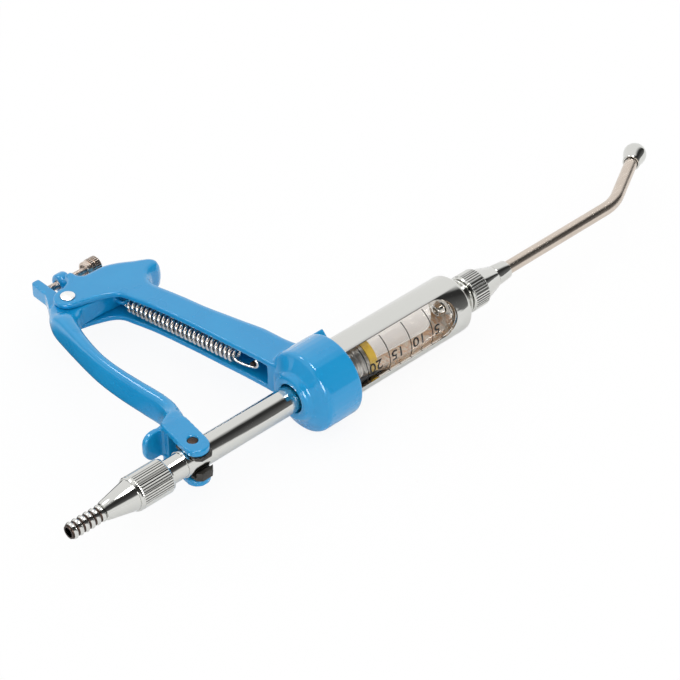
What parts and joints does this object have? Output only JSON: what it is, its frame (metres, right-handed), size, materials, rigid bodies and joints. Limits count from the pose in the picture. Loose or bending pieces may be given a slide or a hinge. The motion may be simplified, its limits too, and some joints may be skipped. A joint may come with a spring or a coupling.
{
  "type": "automatic drenching syringe",
  "caption": "Pistol-grip veterinary drench gun: sprung trigger lever, glass barrel in a windowed sleeve, hose connector behind and a bent nozzle with a bulb tip.",
  "frame": {"origin": "centre of the base: under the middle of the part's length and width, at the level of the handle ring's lowest point", "axes": "+X along the barrel towards the nozzle, +Y up the handle from the barrel to the lever pivot, +Z parallel to the pivot pin"},
  "size_m": [0.4018, 0.1686, 0.0414],
  "materials": {
    "blue_enamel": "gloss",
    "chrome": "polished",
    "steel": "satin",
    "black_nylon": "matte",
    "clear_glass": "clear",
    "yellow_rubber": "satin",
    "black_rubber": "matte"
  },
  "bodies": {
    "handle": {"handle_casting": "blue_enamel", "barrel_sleeve": "chrome", "glass_barrel": "clear_glass", "rear_glass_gasket": "black_rubber", "front_glass_gasket": "black_rubber", "outlet_valve_body": "chrome", "outlet_valve_spring": "steel", "outlet_union_nut": "chrome", "nozzle_collar": "steel", "nozzle_ferrule": "chrome", "nozzle_tube": "steel", "nozzle_tip": "chrome", "pivot_pin": "chrome", "spring_anchor_pin": "steel", "return_spring": "steel"},
    "lever": {"trigger_lever": "blue_enamel", "fork_pin_upper": "steel", "fork_pin_lower": "steel"},
    "slide_blocks": {"slide_block_upper": "black_nylon", "slide_block_lower": "black_nylon"},
    "push_tube": {"push_tube": "chrome", "hose_connector": "chrome", "hose_washer": "black_rubber", "piston_head": "chrome", "piston_seal": "yellow_rubber", "piston_cap": "chrome", "inlet_valve_retainer": "steel", "inlet_valve_spring": "steel"},
    "inlet_valve": {"inlet_valve": "black_rubber"},
    "outlet_valve": {"outlet_valve": "black_rubber"},
    "dose_screw": {"dose_screw": "steel"},
    "dose_knob": {"dose_knob": "steel"}
  },
  "joints": [
    {"name": "lever_squeeze", "type": "hinge", "parent": "handle", "child": "lever", "pos_m": [-0.10369, 0.05845, 0.0207], "axis": [0, 0, 1], "range_deg": [0, 22.41], "stiffness_Nm_per_rad": 1.2, "springref_deg": -20.05, "deforming": ["return_spring"]},
    {"name": "slide_block_turn", "type": "hinge", "parent": "lever", "child": "slide_blocks", "pos_m": [-0.13009, -0.06355, 0.0207], "axis": [0, 0, 1], "range_deg": [-22.41, 0]},
    {"name": "push_tube_slide", "type": "slide", "parent": "handle", "child": "push_tube", "axis": [1, 0, 0], "range_m": [0, 0.0485]},
    {"name": "inlet_valve_lift", "type": "slide", "parent": "push_tube", "child": "inlet_valve", "axis": [1, 0, 0], "range_m": [0, 0.0015], "stiffness_N_per_m": 40, "springref_m": -0.002, "deforming": ["inlet_valve_spring"]},
    {"name": "outlet_valve_lift", "type": "slide", "parent": "handle", "child": "outlet_valve", "axis": [1, 0, 0], "range_m": [0, 0.0015], "stiffness_N_per_m": 40, "springref_m": -0.002, "deforming": ["outlet_valve_spring"]},
    {"name": "dose_screw_travel", "type": "slide", "parent": "handle", "child": "dose_screw", "axis": [1, 0, 0], "range_m": [0, 0.006]},
    {"name": "dose_knob_turn", "type": "hinge", "parent": "dose_screw", "child": "dose_knob", "pos_m": [-0.07869, 0.07805, 0.0207], "axis": [1, 0, 0], "range_deg": [0, 2160.5]}
  ],
  "couplings": [
    {"joint": "push_tube_slide", "follows": "lever_squeeze", "m_per_rad": 0.12401},
    {"joint": "slide_block_turn", "follows": "lever_squeeze", "ratio": -1},
    {"joint": "dose_knob_turn", "follows": "dose_screw_travel", "rad_per_m": 6283.2}
  ]
}
